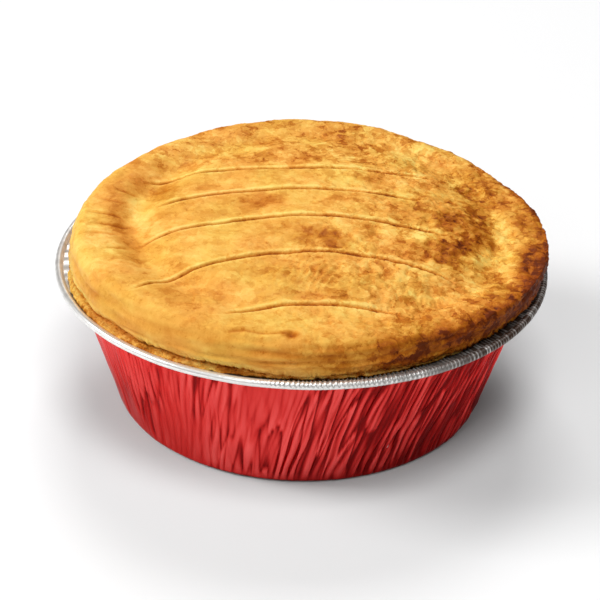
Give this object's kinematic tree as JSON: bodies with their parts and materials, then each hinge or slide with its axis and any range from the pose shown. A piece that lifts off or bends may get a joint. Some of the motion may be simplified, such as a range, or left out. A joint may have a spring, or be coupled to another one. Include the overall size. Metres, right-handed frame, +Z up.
{
  "type": "beef pie",
  "caption": "Individual beef pie with a puffed, scored, golden lid, in its own round red foil tin with a pleated wall and a rolled rim.",
  "frame": {"origin": "middle of the tin's base, on the surface the pie stands on", "axes": "+Z up, -Y towards the viewer's side of the picture, +X to the picture's right"},
  "size_m": [0.13, 0.13, 0.0531],
  "materials": {
    "red_foil": "thin foil, red lacquer on its outer side, semi-gloss",
    "silver_foil": "the same thin foil, bare: the tin's inner side and its rolled rim, bright and finely crimped",
    "case_pastry": "baked shortcrust pastry, orange-brown, matt and bumpy",
    "lid_pastry": "baked puff pastry, golden with browned patches, flaky, soft egg-wash sheen"
  },
  "bodies": {
    "root": {"foil_tin": "red_foil", "base_crust": "case_pastry", "lid_crust": "lid_pastry"}
  },
  "joints": []
}
